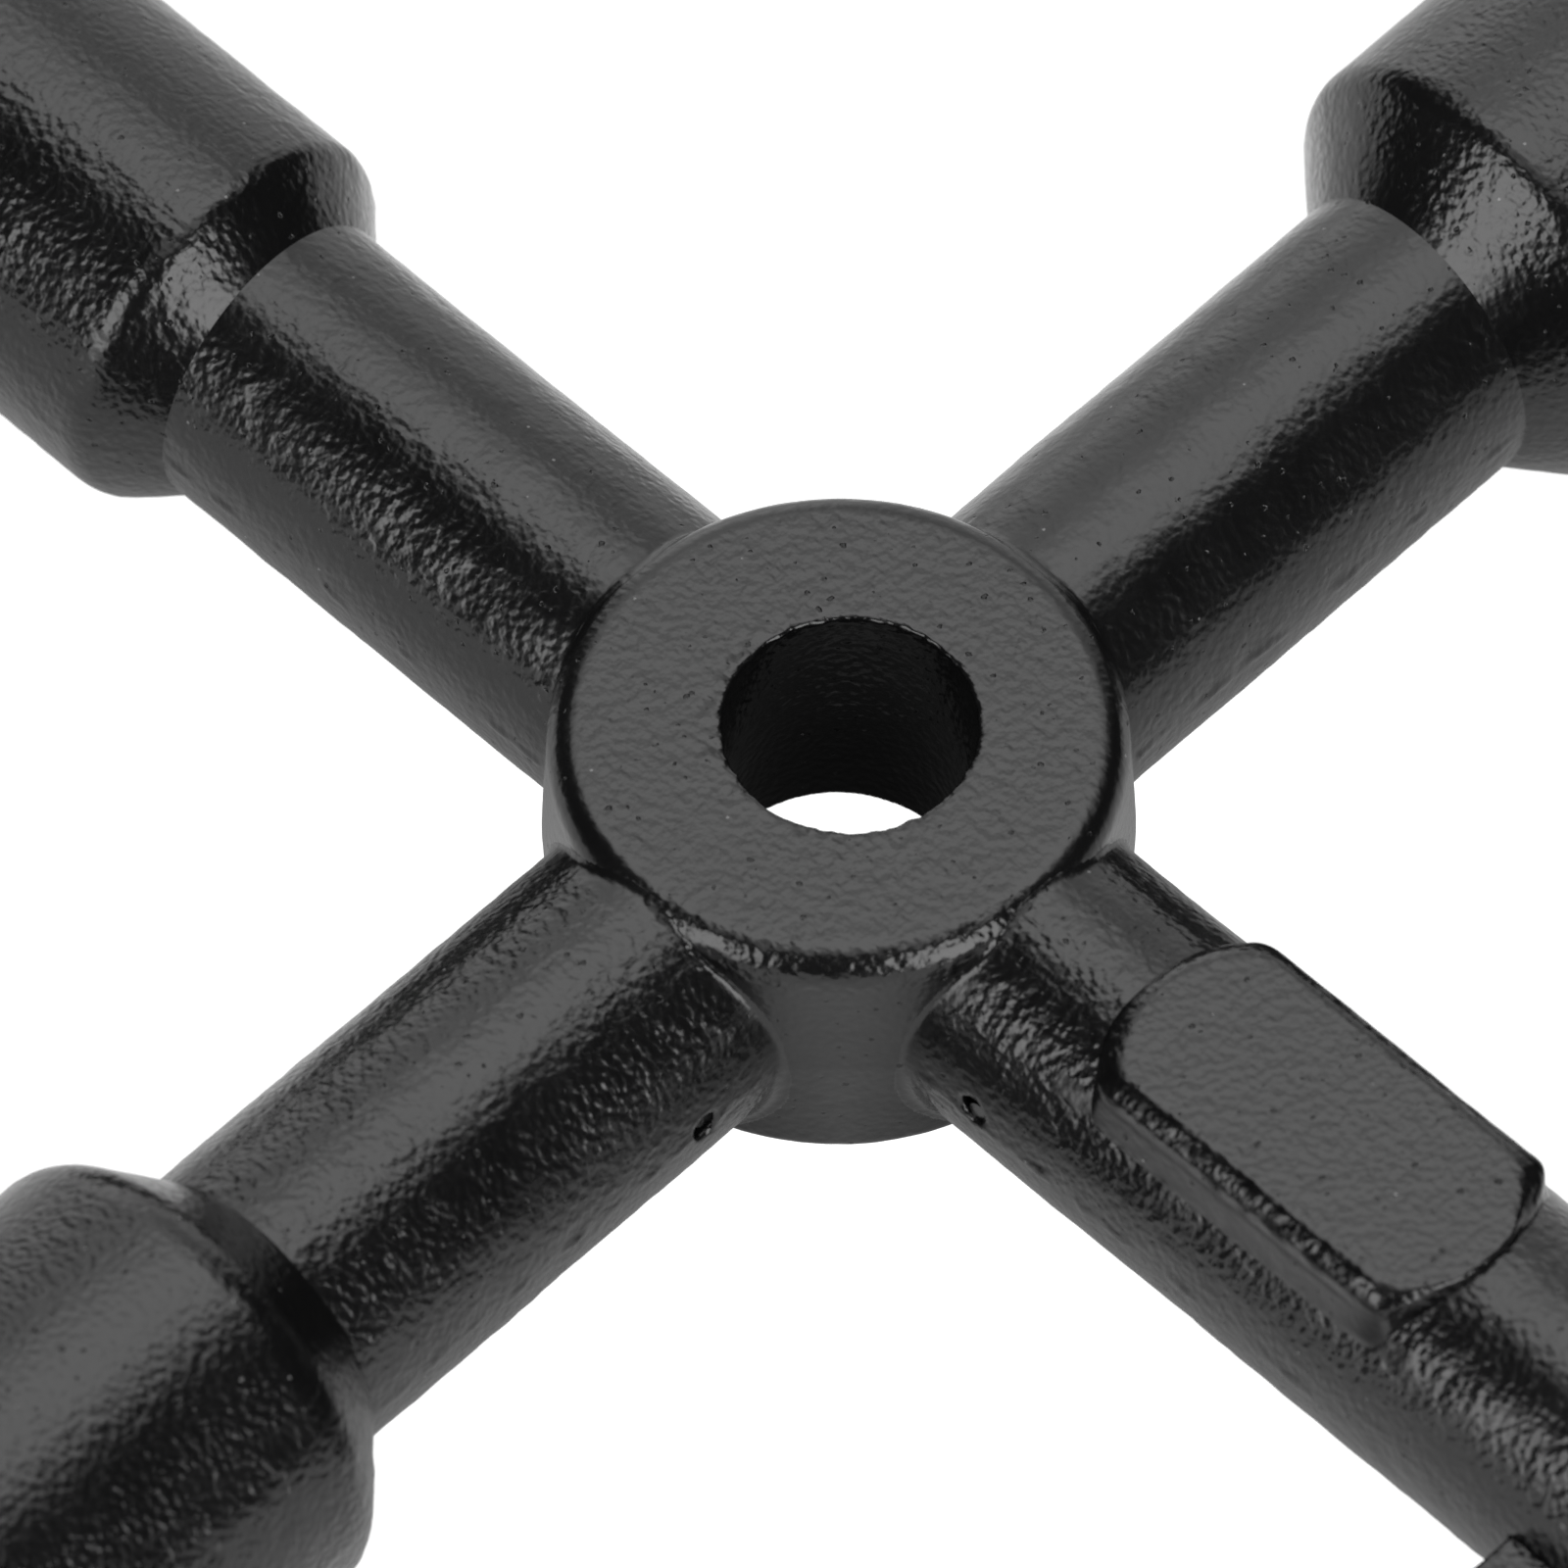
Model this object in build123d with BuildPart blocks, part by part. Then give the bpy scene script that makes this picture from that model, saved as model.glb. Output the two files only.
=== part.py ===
from build123d import *
from dataclasses import dataclass
import math
import os

# Four-way cross key for radiator valves, meter cupboards and technical panels.
# A ring hub carries four round arms at right angles. Three arms end in a socket
# barrel (8 mm square, stepped 5/6 mm square, 9 mm triangle) and the fourth,
# which also carries a blank raised label pad, ends in a double-bit head.
#
# Frame: origin at the hub's centre on the plane of the arms' axes,
# +X double-bit arm, +Y large square arm, -X small square arm, -Y triangle arm,
# +Z towards the hub's raised face and the label pad. Millimetres.

# ---------------------------------------------------------------- dimensions
REACH = 39.0             # hub centre to the end of every arm
CUT_OVERRUN = 1.0        # how far a cut starts or ends outside the metal

HUB_R = 8.6
HUB_TOP = 5.0            # raised face above the arms' axis plane
HUB_BOTTOM = -4.45       # underside of the ring
HUB_HEIGHT = HUB_TOP - HUB_BOTTOM
HUB_BORE_R = 3.8         # open through hole
HUB_TOP_FILLET = 0.9
HUB_BOTTOM_FILLET = 0.25

TENON_R = 2.9            # round tenons cast on the hub
TENON_END = 12.0
TENON_GAP = 0.2          # air past the end of a tenon

ROOT_PIN_R = 0.4
ROOT_PIN_LENGTH = 7.6
ROOT_PIN_RECESS = 0.15   # pin's outer end below the arm's side
ROOT_PIN_AT = 10.2       # distance from the hub's centre
ROOT_PIN_Z = 0.35        # height above the arms' axes

ARM_R = 4.7              # the three socket arms
BIT_ARM_R = 4.73         # the double-bit arm
ARM_START = 4.0          # start of the bar, before it is coped to the hub
COPE_HALF_HEIGHT = 6.0   # half height of the coping cut

EDGE_DROP = 0.2          # small facet between shoulder and barrel
EDGE_RUN = 0.3
MOUTH_CHAMFER = 0.45     # outside edge of each mouth
SPIGOT_R = 3.2           # turned spigot at the end of each socket arm
SPIGOT_LENGTH = 3.4
SPIGOT_GAP = 0.2         # air past the end of a spigot

# steel inserts
INSERT_FACE = REACH - 0.4    # front face, just inside the mouth
SMALL_INSERT_STEP = 32.6     # joint between the 6 mm and the 5 mm insert
KEY_CLEARANCE = 0.1
SQUARE_5 = 5 + KEY_CLEARANCE     # across flats
SQUARE_6 = 6 + KEY_CLEARANCE
SQUARE_8 = 8 + KEY_CLEARANCE
TRIANGLE_9 = 9 + KEY_CLEARANCE   # height of the triangle
TRIANGLE_SIDE = 2 * TRIANGLE_9 / math.sqrt(3)
TRIANGLE_CORNER = 0.9
LEAD_IN_8 = 0.3          # chamfers around the mouths of the key holes
LEAD_IN_6 = 0.25
LEAD_IN_TRIANGLE = 0.25

# double-bit head
HEAD_R = 3.5             # sleeve outside radius
HEAD_BACK = 27.4
HEAD_FACE = 38.8
BIT_BORE_5_R = 5 / 2
BIT_BORE_5_END = 33.8
BIT_BORE_3_R = 3 / 2
BIT_BORE_3_END = 30.2
WING_START = 31.35
WING_SPAN = 16.0         # tip to tip
WING_THICKNESS = 2.0
WING_CORNER = 0.8
HEAD_PIN_R = 0.75
HEAD_PIN_AT = 28.8
HEAD_PIN_TOP = 3.9
HEAD_PIN_RECESS = 0.2    # pin's lower end above the arm's underside
HEAD_PIN_CHAMFER = 0.15

# label pad: straight long sides and a shallow arc at each end, in plan
PAD_FROM = 12.35         # crown of the inner end's arc
PAD_FROM_CORNER = 13.97  # where that arc meets the long sides
PAD_TO_CORNER = 24.86
PAD_TO = 26.25           # crown of the outer end's arc
PAD_HALF_WIDTH = 3.65
PAD_TOP = 5.05
PAD_SEAT = 2.95          # milled seat in the arm
PAD_CHAMFER = 0.55
SEAT_CUT_HEIGHT = 3.0    # clears the top of the arm

# ---------------------------------------------------------------- the arms
# An arm's direction points from the hub to its tip. Its root pin goes in from
# one side, seen looking outwards along the arm with +Z up.
UP = Vector(0, 0, 1)
FROM_RIGHT = 1
FROM_LEFT = -1

BIT_OUTWARD = Vector(1, 0, 0)
BIT_PIN_SIDE = FROM_RIGHT


@dataclass
class SocketArm:
    outward: Vector
    pin_side: int
    neck: float              # end of the bare arm
    edge: float              # end of the conical shoulder
    barrel_radius: float
    insert_radius: float
    insert_back: float


LARGE = SocketArm(outward=Vector(0, 1, 0), pin_side=FROM_LEFT,
                  neck=24.4, edge=26.9, barrel_radius=7.37,
                  insert_radius=6.3, insert_back=29.4)
SMALL = SocketArm(outward=Vector(-1, 0, 0), pin_side=FROM_RIGHT,
                  neck=23.65, edge=25.2, barrel_radius=6.3,
                  insert_radius=5.05, insert_back=28.2)
TRIANGLE = SocketArm(outward=Vector(0, -1, 0), pin_side=FROM_LEFT,
                     neck=23.9, edge=26.35, barrel_radius=7.46,
                     insert_radius=6.35, insert_back=29.0)


def across(outward, distance):
    """Section plane across an arm: local z points outwards, local y up."""
    return Plane(origin=outward * distance, x_dir=UP.cross(outward), z_dir=outward)


def along(outward):
    """Plane through an arm's axis: local x points outwards, y up, z right."""
    return Plane(origin=(0, 0, 0), x_dir=outward, z_dir=outward.cross(UP))


def axis_of(outward):
    return Axis((0, 0, 0), outward)


# ---------------------------------------------------------------------- hub
def build_hub():
    with BuildPart() as hub:
        with BuildSketch(Plane.XY.offset(HUB_BOTTOM)):
            Circle(HUB_R)
        extrude(amount=HUB_HEIGHT)
        fillet(hub.edges().filter_by(GeomType.CIRCLE).group_by(Axis.Z)[-1],
               HUB_TOP_FILLET)
        fillet(hub.edges().filter_by(GeomType.CIRCLE).group_by(Axis.Z)[0],
               HUB_BOTTOM_FILLET)
        # two crossing bars make the four tenons
        for outward in (BIT_OUTWARD, LARGE.outward):
            with BuildSketch(across(outward, -TENON_END)):
                Circle(TENON_R)
            extrude(amount=2 * TENON_END)
        # the open hole through the ring
        with BuildSketch(Plane.XY.offset(HUB_BOTTOM)):
            Circle(HUB_BORE_R)
        extrude(amount=HUB_HEIGHT, mode=Mode.SUBTRACT)
        # cross holes for the root pins
        for plane in (Plane.XZ, Plane.YZ):
            with BuildSketch(plane):
                with Locations((ROOT_PIN_AT, ROOT_PIN_Z), (-ROOT_PIN_AT, ROOT_PIN_Z)):
                    Circle(ROOT_PIN_R)
            extrude(amount=TENON_R + CUT_OVERRUN, both=True, mode=Mode.SUBTRACT)
    return hub.part


# --------------------------------------------------------------------- arms
def build_arm(outward, pin_side, radius, end, has_spigot):
    """Turned bar, coped to the hub's ring, bored for the tenon and drilled
    from one side for its root pin. The tip has a spigot or is chamfered."""
    with BuildPart() as arm:
        with BuildSketch(across(outward, ARM_START)):
            Circle(radius)
        extrude(amount=end - ARM_START)
        if has_spigot:
            with BuildSketch(across(outward, end)):
                Circle(SPIGOT_R)
            extrude(amount=SPIGOT_LENGTH)
        else:
            chamfer(arm.edges().group_by(axis_of(outward))[-1], MOUTH_CHAMFER)
        with BuildSketch(Plane.XY.offset(-COPE_HALF_HEIGHT)):
            Circle(HUB_R)
        extrude(amount=2 * COPE_HALF_HEIGHT, mode=Mode.SUBTRACT)
        with BuildSketch(across(outward, ARM_START)):
            Circle(TENON_R)
        extrude(amount=TENON_END + TENON_GAP - ARM_START, mode=Mode.SUBTRACT)
        with BuildSketch(along(outward).offset(pin_side * (radius + CUT_OVERRUN))):
            with Locations((ROOT_PIN_AT, ROOT_PIN_Z)):
                Circle(ROOT_PIN_R)
        extrude(amount=-pin_side * (CUT_OVERRUN + ROOT_PIN_RECESS + ROOT_PIN_LENGTH),
                mode=Mode.SUBTRACT)
    return arm.part


def build_socket_arm(arm):
    return build_arm(arm.outward, arm.pin_side, ARM_R, arm.neck, has_spigot=True)


def draw_pad_outline():
    """Draws the label pad's plan in the BuildLine block that calls this."""
    ThreePointArc((PAD_FROM_CORNER, -PAD_HALF_WIDTH), (PAD_FROM, 0),
                  (PAD_FROM_CORNER, PAD_HALF_WIDTH))
    Line((PAD_FROM_CORNER, PAD_HALF_WIDTH), (PAD_TO_CORNER, PAD_HALF_WIDTH))
    ThreePointArc((PAD_TO_CORNER, PAD_HALF_WIDTH), (PAD_TO, 0),
                  (PAD_TO_CORNER, -PAD_HALF_WIDTH))
    Line((PAD_TO_CORNER, -PAD_HALF_WIDTH), (PAD_FROM_CORNER, -PAD_HALF_WIDTH))


def build_double_bit_arm():
    with BuildPart() as arm:
        add(build_arm(BIT_OUTWARD, BIT_PIN_SIDE, BIT_ARM_R, REACH, has_spigot=False))
        # seat for the label pad
        with BuildSketch(Plane.XY.offset(PAD_SEAT)):
            with BuildLine():
                draw_pad_outline()
            make_face()
        extrude(amount=SEAT_CUT_HEIGHT, mode=Mode.SUBTRACT)
        # bore and slot for the double-bit head
        with BuildSketch(across(BIT_OUTWARD, HEAD_BACK)):
            Circle(HEAD_R)
        extrude(amount=REACH - HEAD_BACK, mode=Mode.SUBTRACT)
        with BuildSketch(across(BIT_OUTWARD, WING_START)):
            Rectangle(2 * (BIT_ARM_R + CUT_OVERRUN), WING_THICKNESS)
        extrude(amount=REACH - WING_START, mode=Mode.SUBTRACT)
        # the head's pin goes in from underneath
        with BuildSketch(Plane.XY.offset(-BIT_ARM_R - CUT_OVERRUN)):
            with Locations((HEAD_PIN_AT, 0)):
                Circle(HEAD_PIN_R)
        extrude(amount=BIT_ARM_R + CUT_OVERRUN + HEAD_PIN_TOP, mode=Mode.SUBTRACT)
    return arm.part


def build_arm_root_pins():
    """One pin through each arm's root and its tenon, all as one piece."""
    pins = [
        (LARGE.outward, LARGE.pin_side, ARM_R),
        (TRIANGLE.outward, TRIANGLE.pin_side, ARM_R),
        (BIT_OUTWARD, BIT_PIN_SIDE, BIT_ARM_R),
        (SMALL.outward, SMALL.pin_side, ARM_R),
    ]
    with BuildPart() as root_pins:
        for outward, side, radius in pins:
            with BuildSketch(along(outward).offset(side * (radius - ROOT_PIN_RECESS))):
                with Locations((ROOT_PIN_AT, ROOT_PIN_Z)):
                    Circle(ROOT_PIN_R)
            extrude(amount=-side * ROOT_PIN_LENGTH)
    return root_pins.part


# ---------------------------------------------------------------- label pad
def build_label_pad():
    with BuildPart() as pad:
        with BuildSketch(Plane.XY.offset(PAD_SEAT)):
            with BuildLine():
                draw_pad_outline()
            make_face()
        extrude(amount=PAD_TOP - PAD_SEAT)
        chamfer(pad.edges().group_by(Axis.Z)[-1], PAD_CHAMFER)
    return pad.part


# ----------------------------------------------------------- socket barrels
def build_barrel(arm):
    """Barrel with a conical shoulder, bored for the spigot and the insert."""
    half_section = [        # distance along the arm, radius
        (arm.neck, 0),
        (arm.neck, ARM_R),
        (arm.edge, arm.barrel_radius - EDGE_DROP),
        (arm.edge + EDGE_RUN, arm.barrel_radius),
        (REACH, arm.barrel_radius),
        (REACH, 0),
    ]
    with BuildPart() as barrel:
        with BuildSketch(along(arm.outward)):
            with BuildLine():
                Polyline(*half_section, close=True)
            make_face()
        revolve(axis=axis_of(arm.outward))
        chamfer(barrel.edges().group_by(axis_of(arm.outward))[-1], MOUTH_CHAMFER)
        with BuildSketch(across(arm.outward, arm.neck)):
            Circle(SPIGOT_R)
        extrude(amount=SPIGOT_LENGTH + SPIGOT_GAP, mode=Mode.SUBTRACT)
        with BuildSketch(across(arm.outward, arm.insert_back)):
            Circle(arm.insert_radius)
        extrude(amount=REACH - arm.insert_back, mode=Mode.SUBTRACT)
    return barrel.part


# ------------------------------------------------------------ steel inserts
def build_square_insert(arm, back, face, square, lead_in=None):
    """Round insert with a square hole, chamfered at its outer face if asked."""
    with BuildPart() as insert:
        with BuildSketch(across(arm.outward, back)):
            Circle(arm.insert_radius)
            Rectangle(square, square, mode=Mode.SUBTRACT)
        extrude(amount=face - back)
        if lead_in is not None:
            chamfer(insert.edges().filter_by(GeomType.LINE)
                    .group_by(axis_of(arm.outward))[-1], lead_in)
    return insert.part


def build_triangle_insert():
    with BuildPart() as insert:
        with BuildSketch(across(TRIANGLE.outward, TRIANGLE.insert_back)):
            Circle(TRIANGLE.insert_radius)
            with BuildSketch(mode=Mode.SUBTRACT) as hole:
                with BuildLine():
                    # centroid on the arm's axis, one corner up
                    Polyline((-TRIANGLE_SIDE / 2, -TRIANGLE_9 / 3),
                             (TRIANGLE_SIDE / 2, -TRIANGLE_9 / 3),
                             (0, 2 * TRIANGLE_9 / 3), close=True)
                make_face()
                fillet(hole.vertices(), TRIANGLE_CORNER)
        extrude(amount=INSERT_FACE - TRIANGLE.insert_back)
        # only the straight edges of the hole get the lead-in
        chamfer(insert.edges().filter_by(GeomType.LINE)
                .group_by(axis_of(TRIANGLE.outward))[-1], LEAD_IN_TRIANGLE)
    return insert.part


# ---------------------------------------------------------- double-bit head
def build_double_bit_head():
    with BuildPart() as head:
        with BuildSketch(across(BIT_OUTWARD, HEAD_BACK)):
            Circle(HEAD_R)
        extrude(amount=HEAD_FACE - HEAD_BACK)
        # both wings are one flat plate through the sleeve
        with BuildSketch(Plane.XY.offset(-WING_THICKNESS / 2)):
            with Locations(((WING_START + HEAD_FACE) / 2, 0)):
                RectangleRounded(HEAD_FACE - WING_START, WING_SPAN, WING_CORNER)
        extrude(amount=WING_THICKNESS)
        # stepped bore from the face
        with BuildSketch(across(BIT_OUTWARD, BIT_BORE_5_END)):
            Circle(BIT_BORE_5_R)
        extrude(amount=HEAD_FACE - BIT_BORE_5_END, mode=Mode.SUBTRACT)
        with BuildSketch(across(BIT_OUTWARD, BIT_BORE_3_END)):
            Circle(BIT_BORE_3_R)
        extrude(amount=BIT_BORE_5_END - BIT_BORE_3_END, mode=Mode.SUBTRACT)
        # cross hole for the pin
        with BuildSketch(Plane.XY.offset(-HEAD_R - CUT_OVERRUN)):
            with Locations((HEAD_PIN_AT, 0)):
                Circle(HEAD_PIN_R)
        extrude(amount=2 * (HEAD_R + CUT_OVERRUN), mode=Mode.SUBTRACT)
    return head.part


def build_bit_head_pin():
    with BuildPart() as pin:
        with BuildSketch(Plane.XY.offset(-BIT_ARM_R + HEAD_PIN_RECESS)):
            with Locations((HEAD_PIN_AT, 0)):
                Circle(HEAD_PIN_R)
        extrude(amount=BIT_ARM_R - HEAD_PIN_RECESS + HEAD_PIN_TOP)
        chamfer(pin.edges().group_by(Axis.Z)[0], HEAD_PIN_CHAMFER)
    return pin.part


# ------------------------------------------------------------------- export
pieces = {
    "hub": build_hub(),
    "arm_large_square": build_socket_arm(LARGE),
    "arm_small_square": build_socket_arm(SMALL),
    "arm_triangle": build_socket_arm(TRIANGLE),
    "arm_double_bit": build_double_bit_arm(),
    "label_pad": build_label_pad(),
    "barrel_large_square": build_barrel(LARGE),
    "barrel_small_square": build_barrel(SMALL),
    "barrel_triangle": build_barrel(TRIANGLE),
    "insert_square_8": build_square_insert(
        LARGE, LARGE.insert_back, INSERT_FACE, SQUARE_8, LEAD_IN_8),
    "insert_square_6": build_square_insert(
        SMALL, SMALL_INSERT_STEP, INSERT_FACE, SQUARE_6, LEAD_IN_6),
    "insert_square_5": build_square_insert(
        SMALL, SMALL.insert_back, SMALL_INSERT_STEP, SQUARE_5),
    "insert_triangle_9": build_triangle_insert(),
    "double_bit_head": build_double_bit_head(),
    "bit_head_pin": build_bit_head_pin(),
    "arm_root_pins": build_arm_root_pins(),
}

os.makedirs("parts", exist_ok=True)
for name, piece in pieces.items():
    piece.label = name
    export_step(piece, f"parts/{name}.step")
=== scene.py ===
"""Black painted four-way cross key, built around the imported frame.

The hub stands on the Z axis and the arms lie level: large square socket
along +Y, small square socket along -X, triangle socket along -Y, and the
double bit with its label pad along +X. Shapes are distance fields in
millimetres, contoured into meshes and written in metres.
"""
import itertools
import math
from types import SimpleNamespace

import bpy
import numpy as np
from mathutils import Matrix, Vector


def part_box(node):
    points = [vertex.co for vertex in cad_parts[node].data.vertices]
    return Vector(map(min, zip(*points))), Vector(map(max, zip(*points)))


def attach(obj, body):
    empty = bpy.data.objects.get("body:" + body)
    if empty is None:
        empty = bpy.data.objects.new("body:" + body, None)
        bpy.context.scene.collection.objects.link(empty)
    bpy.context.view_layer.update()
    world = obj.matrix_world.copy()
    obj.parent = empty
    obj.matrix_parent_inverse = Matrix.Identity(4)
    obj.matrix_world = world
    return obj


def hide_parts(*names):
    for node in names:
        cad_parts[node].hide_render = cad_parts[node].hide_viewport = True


MM = 0.001                               # metres in a millimetre

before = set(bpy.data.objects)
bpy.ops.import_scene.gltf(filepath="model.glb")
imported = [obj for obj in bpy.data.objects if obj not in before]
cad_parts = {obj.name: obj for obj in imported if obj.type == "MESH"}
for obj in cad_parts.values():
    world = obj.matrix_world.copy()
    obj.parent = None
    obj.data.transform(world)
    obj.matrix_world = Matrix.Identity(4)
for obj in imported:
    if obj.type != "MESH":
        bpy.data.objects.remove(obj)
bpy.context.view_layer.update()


def node_box(name):
    """Lower and upper corner of a node's box, mm."""
    return [np.array(corner) * 1000.0 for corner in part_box(name)]


# ------------------------------------------------------------ driving sizes
hub_lo, hub_hi = node_box("hub")
HUB_BOTTOM, HUB_TOP = hub_lo[2], hub_hi[2]
HUB_R = 8.67                 # at the parting plane; both halves have draft
HUB_DRAFT = 0.045
HUB_ROUND = 0.94             # rounding of the upper edge
CORE_R, CORE_TAPER = 3.98, 0.26          # cored hole: bottom radius, loss at the top
CORE_CENTRE, CORE_LEAN = (-0.064, -0.064), (0.269, 0.349)    # bottom x y, shift to top
PAD_LO, PAD_HI = node_box("label_pad")
REACH = node_box("arm_double_bit")[1][0]     # every arm ends this far out
HEAD_HI = node_box("double_bit_head")[1]

CELL = 0.105     # contouring cell
SLAB = 1500000                           # most grid points evaluated at once
PROBE = 0.012                            # half step for field gradients

# toward: plan direction; pin_side: side of the root pin's pit, +1 being 90
# degrees counter-clockwise from toward; pit: distance out, height, radius.
# near: the same kind of sign for the side facing +X or -Y. The barrel's cone
# has a start (neck) and a slope for the far side, then for the near side.
LARGE = SimpleNamespace(
    toward=(0, 1), radius=4.70, taper=0.0, pin_side=1, pit=(10.2, 0.35, 0.45),
    near=-1, neck=(24.66, 24.07), slope=(1.05, 0.87), cone_blend=0.42)
SMALL = SimpleNamespace(
    toward=(-1, 0), radius=4.69, taper=0.0, pin_side=-1, pit=(10.2, 0.35, 0.45),
    near=1, neck=(23.77, 23.25), slope=(0.96, 0.75), cone_blend=0.30)
TRIANGLE = SimpleNamespace(
    toward=(0, -1), radius=4.80, taper=0.003, pin_side=1, pit=(10.4, 0.27, 0.47),
    near=1, neck=(23.87, 23.94), slope=(1.06, 0.98), cone_blend=0.60)
BIT = SimpleNamespace(
    toward=(1, 0), radius=4.73, taper=0.0, pin_side=-1, pit=(10.0, 0.45, 0.46))


def fit_barrel(arm, barrel, *inserts):
    """Take the barrel's radius and its bore from the CAD boxes."""
    along = 0 if arm.toward[0] else 1
    across = 1 - along
    lo, hi = node_box(barrel)
    arm.barrel_r = (hi[across] - lo[across]) / 2
    arm.barrel_bottom = lo[2]
    boxes = [node_box(name) for name in inserts]
    arm.bore_r = boxes[0][1][2]
    arm.bore_start = min(abs(corner[along]) for box in boxes for corner in box)


fit_barrel(LARGE, "barrel_large_square", "insert_square_8")
fit_barrel(SMALL, "barrel_small_square", "insert_square_5", "insert_square_6")
fit_barrel(TRIANGLE, "barrel_triangle", "insert_triangle_9")


# ---------------------------------------------------------- noise and blends
CORNERS = np.array(list(itertools.product((0, 1), repeat=3)))
GRADS = np.array([
    (1, 1, 0), (-1, 1, 0), (1, -1, 0), (-1, -1, 0), (1, 0, 1), (-1, 0, 1),
    (1, 0, -1), (-1, 0, -1), (0, 1, 1), (0, -1, 1), (0, 1, -1), (0, -1, -1),
    (1, 1, 0), (0, -1, 1), (-1, 1, 0), (0, -1, -1)], dtype=np.float64)


def perlin(pts, seed):
    """Gradient noise on a unit lattice shuffled by the seed."""
    order = np.random.RandomState(seed).permutation(256)
    perm = np.concatenate([order] * 3).astype(np.int64)
    base = np.floor(pts).astype(np.int64)
    part = pts - base
    base &= 255
    ease = part * part * part * (part * (part * 6 - 15) + 10)
    total = 0.0
    for corner in CORNERS:
        share = np.where(corner, ease, 1 - ease)
        pick = 0
        for k in range(3):
            pick = perm[pick + base[:, k] + corner[k]]
        slope = GRADS[pick & 15]
        away = part - corner
        dot = (slope[:, 0] * away[:, 0] + slope[:, 1] * away[:, 1]
               + slope[:, 2] * away[:, 2])
        total = total + share[:, 0] * share[:, 1] * share[:, 2] * dot
    return total


def smooth01(x):
    x = np.clip(x, 0.0, 1.0)
    return x * x * (3 - 2 * x)


def rise(x, start, width):
    """0 up to start, 1 beyond start + width."""
    return smooth01((x - start) / width)


def fall(x, end, width):
    """1 up to end - width, 0 beyond end."""
    return smooth01((end - x) / width)


def smin(one, other, blend):
    """Union of two fields with a fillet of width blend."""
    overlap = np.maximum(blend - np.abs(one - other), 0.0) / blend
    return np.minimum(one, other) - overlap * overlap * blend * 0.25


def smax(one, other, blend):
    """Intersection of two fields with a softened edge."""
    return -smin(-one, -other, blend)


# ----------------------------------------------------------- shape fields
def hub_radius(pts):
    return np.hypot(pts[..., 0], pts[..., 1])


def round_corner(side, end, radius):
    """Corner of two faces, given the distances past its arc's centre."""
    return (np.hypot(np.maximum(side, 0), np.maximum(end, 0))
            + np.minimum(np.maximum(side, end), 0) - radius)


def hub_outer(pts):
    z = pts[..., 2]
    wall = HUB_R - HUB_DRAFT * np.abs(z)
    dist = round_corner(hub_radius(pts) - (wall - HUB_ROUND),
                        z - (HUB_TOP - HUB_ROUND), HUB_ROUND)
    return smax(dist, HUB_BOTTOM - z, blend=0.45)


def hub_field(pts):
    # cored hole: slightly off centre, wider below
    lift = (pts[..., 2] - HUB_BOTTOM) / (HUB_TOP - HUB_BOTTOM)
    centre_x, centre_y = [c + lean * lift for c, lean in zip(CORE_CENTRE, CORE_LEAN)]
    radius = np.hypot(pts[..., 0] - centre_x, pts[..., 1] - centre_y)
    return smax(hub_outer(pts), CORE_R - CORE_TAPER * lift - radius, blend=0.15)


def arm_frame(pts, arm):
    """Distance along the arm, distance across it and height."""
    dir_x, dir_y = arm.toward
    along = pts[..., 0] * dir_x + pts[..., 1] * dir_y
    across = -pts[..., 0] * dir_y + pts[..., 1] * dir_x
    return along, across, pts[..., 2]


def end_bevel(along, radius, outer, cut):
    """45 degree bevel on the outer end of a round arm or barrel."""
    return (radius + along - (outer + REACH - cut)) / math.sqrt(2)


def arm_field(arm, end):
    taper_from = 16.0                # arm.radius is measured here
    hollow, start = 6.2, 3.0         # kept clear: hub radius, distance along
    pit_along, pit_z, pit_r = arm.pit
    pit_floor = 3.75                 # distance from the arm's axis

    def field(pts):
        along, across, z = arm_frame(pts, arm)
        rod = np.hypot(across, z) - (arm.radius + arm.taper * (along - taper_from))
        # the fillet to the hub is crisp above and softer below
        fillet = 0.16 + 0.34 * fall(z, 0.8, 3.6)
        dist = smin(rod, hub_outer(pts), fillet)
        dist = np.maximum(dist, rod - fillet * 0.98)
        dist = np.maximum(dist, hollow - hub_radius(pts))
        dist = np.maximum(dist, start - along)
        # pit over the end of the root pin
        pit = np.maximum(np.hypot(along - pit_along, z - pit_z) - pit_r,
                         pit_floor - arm.pin_side * across)
        dist = smax(dist, -pit, blend=0.10)
        return smax(dist, along - end, blend=0.10)
    return field


def barrel_field(arm):
    start = 22.6                     # inner end, hidden in the arm
    (neck_far, neck_near), (slope_far, slope_near) = arm.neck, arm.slope

    def field(pts):
        along, across, z = arm_frame(pts, arm)
        radius = np.hypot(across, z)
        # the cone leans: 1 on the near, lower side and 0 opposite
        side = 0.5 + 0.5 * (0.9 * arm.near * across - 0.43 * z) / np.maximum(radius, 1e-3)
        neck = neck_far + (neck_near - neck_far) * side
        slope = slope_far + (slope_near - slope_far) * side
        cone = (radius - arm.radius - slope * (along - neck)) / np.sqrt(1 + slope * slope)
        dist = smax(cone, radius - arm.barrel_r, arm.cone_blend)
        dist = smax(dist, along - REACH, blend=0.10)
        dist = smax(dist, end_bevel(along, radius, arm.barrel_r, cut=0.42), blend=0.14)
        bore = np.maximum(radius - arm.bore_r, arm.bore_start - along)
        dist = smax(dist, -bore, blend=0.08)
        return np.maximum(dist, start - along)
    return field


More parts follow.
